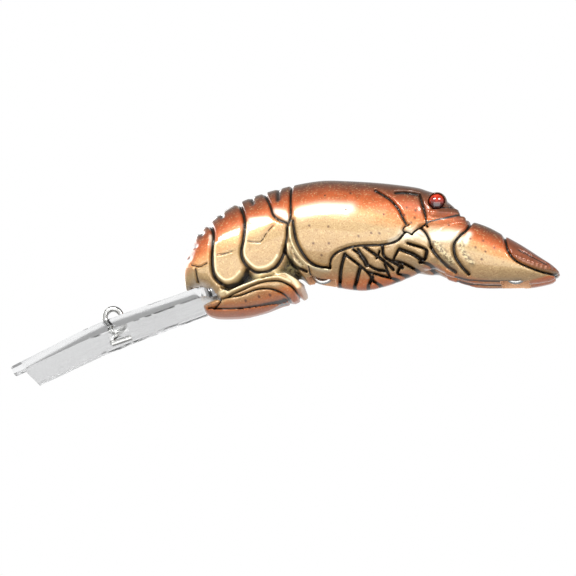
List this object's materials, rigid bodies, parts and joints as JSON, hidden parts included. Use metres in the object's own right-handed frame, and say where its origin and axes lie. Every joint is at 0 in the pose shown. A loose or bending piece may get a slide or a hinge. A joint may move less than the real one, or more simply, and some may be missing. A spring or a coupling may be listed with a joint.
{
  "type": "crankbait lure",
  "caption": "Deep-diving fishing lure shaped like a crayfish, with two painted half shells, a clear diving lip, wire eyes for line and hooks, and rattle balls inside.",
  "frame": {"origin": "centre of the line-tie eye on the diving lip, on the joint plane of the two half shells", "axes": "+X along the body from the lip towards the claws; +Z towards the back of the lure; +Y towards the right half shell, as the lure swims lip first"},
  "size_m": [0.0733, 0.014, 0.0266],
  "materials": {
    "painted_body": "gloss",
    "clear_lip": "clear, gloss",
    "wire": "satin",
    "eye_red": "gloss",
    "lead": "dull",
    "ball_steel": "polished"
  },
  "bodies": {
    "lure_body": {"left_body_shell": "painted_body", "right_body_shell": "painted_body", "diving_lip": "clear_lip", "line_tie_eye": "wire", "belly_hook_hanger": "wire", "tail_hook_hanger": "wire", "left_eye": "eye_red", "right_eye": "eye_red", "ballast_weight": "lead"},
    "rattle_ball_front_body": {"rattle_ball_front": "ball_steel"},
    "rattle_ball_middle_body": {"rattle_ball_middle": "ball_steel"},
    "rattle_ball_rear_body": {"rattle_ball_rear": "ball_steel"}
  },
  "joints": [
    {"name": "rattle_ball_front_slide", "type": "slide", "parent": "lure_body", "child": "rattle_ball_front_body", "axis": [0, 1, 0], "range_m": [-0.0026, 0.0026]},
    {"name": "rattle_ball_middle_slide", "type": "slide", "parent": "lure_body", "child": "rattle_ball_middle_body", "axis": [0, 1, 0], "range_m": [-0.0026, 0.0026]},
    {"name": "rattle_ball_rear_slide", "type": "slide", "parent": "lure_body", "child": "rattle_ball_rear_body", "axis": [0, 1, 0], "range_m": [-0.0026, 0.0026]}
  ]
}
